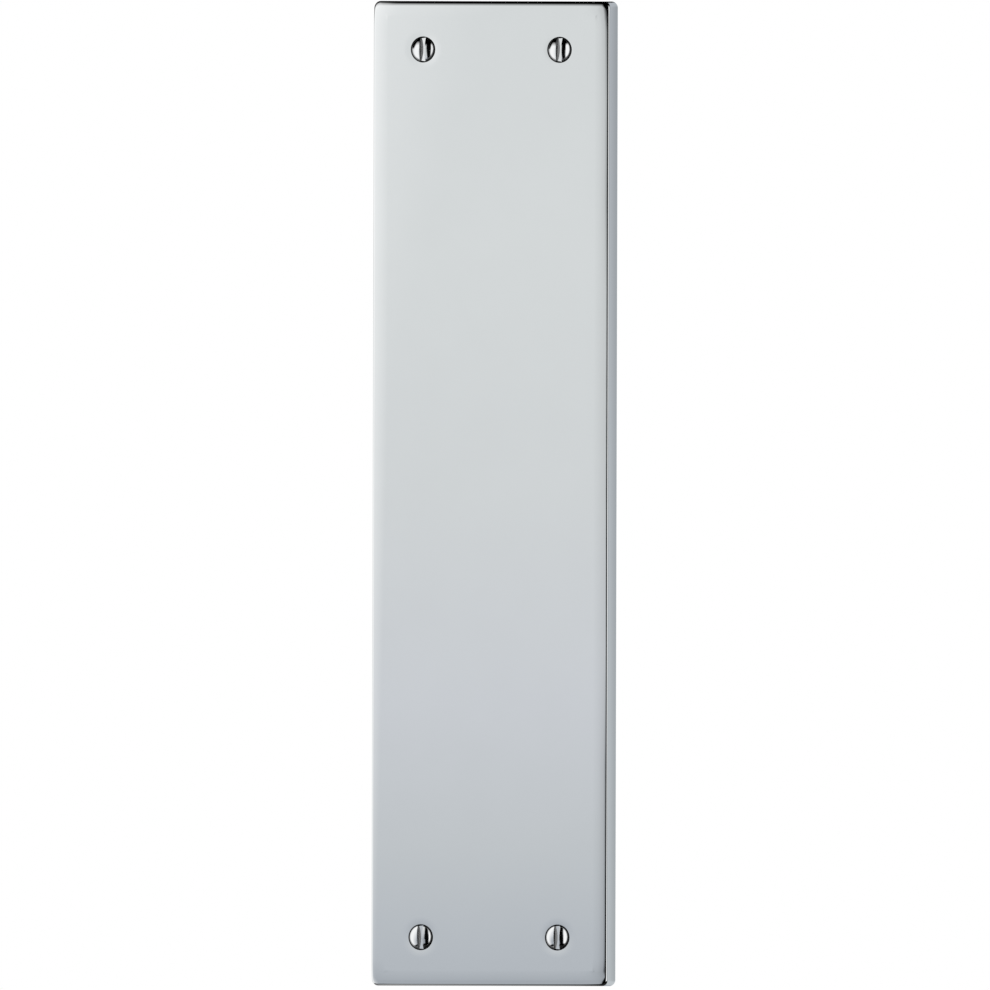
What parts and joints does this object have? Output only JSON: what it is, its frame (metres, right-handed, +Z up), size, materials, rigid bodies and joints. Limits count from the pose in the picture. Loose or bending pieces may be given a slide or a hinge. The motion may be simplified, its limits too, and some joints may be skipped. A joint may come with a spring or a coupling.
{
  "type": "door finger plate",
  "caption": "Plain hollow-backed chrome finger plate with softly rolled edges, fixed to a door by slotted raised countersunk screws in its corners.",
  "frame": {"origin": "centre of the back rim, in the plane where the plate meets the door", "axes": "+X across the plate, to the right as seen from the front; +Y through the plate, towards the door; +Z up along the plate's length"},
  "size_m": [0.0776, 0.0264, 0.305],
  "materials": {
    "plate_chrome": "polished, with a faint buffing grain",
    "screw_chrome": "polished"
  },
  "bodies": {
    "root": {"finger_plate": "plate_chrome", "fixing_screws": "screw_chrome"}
  },
  "joints": []
}
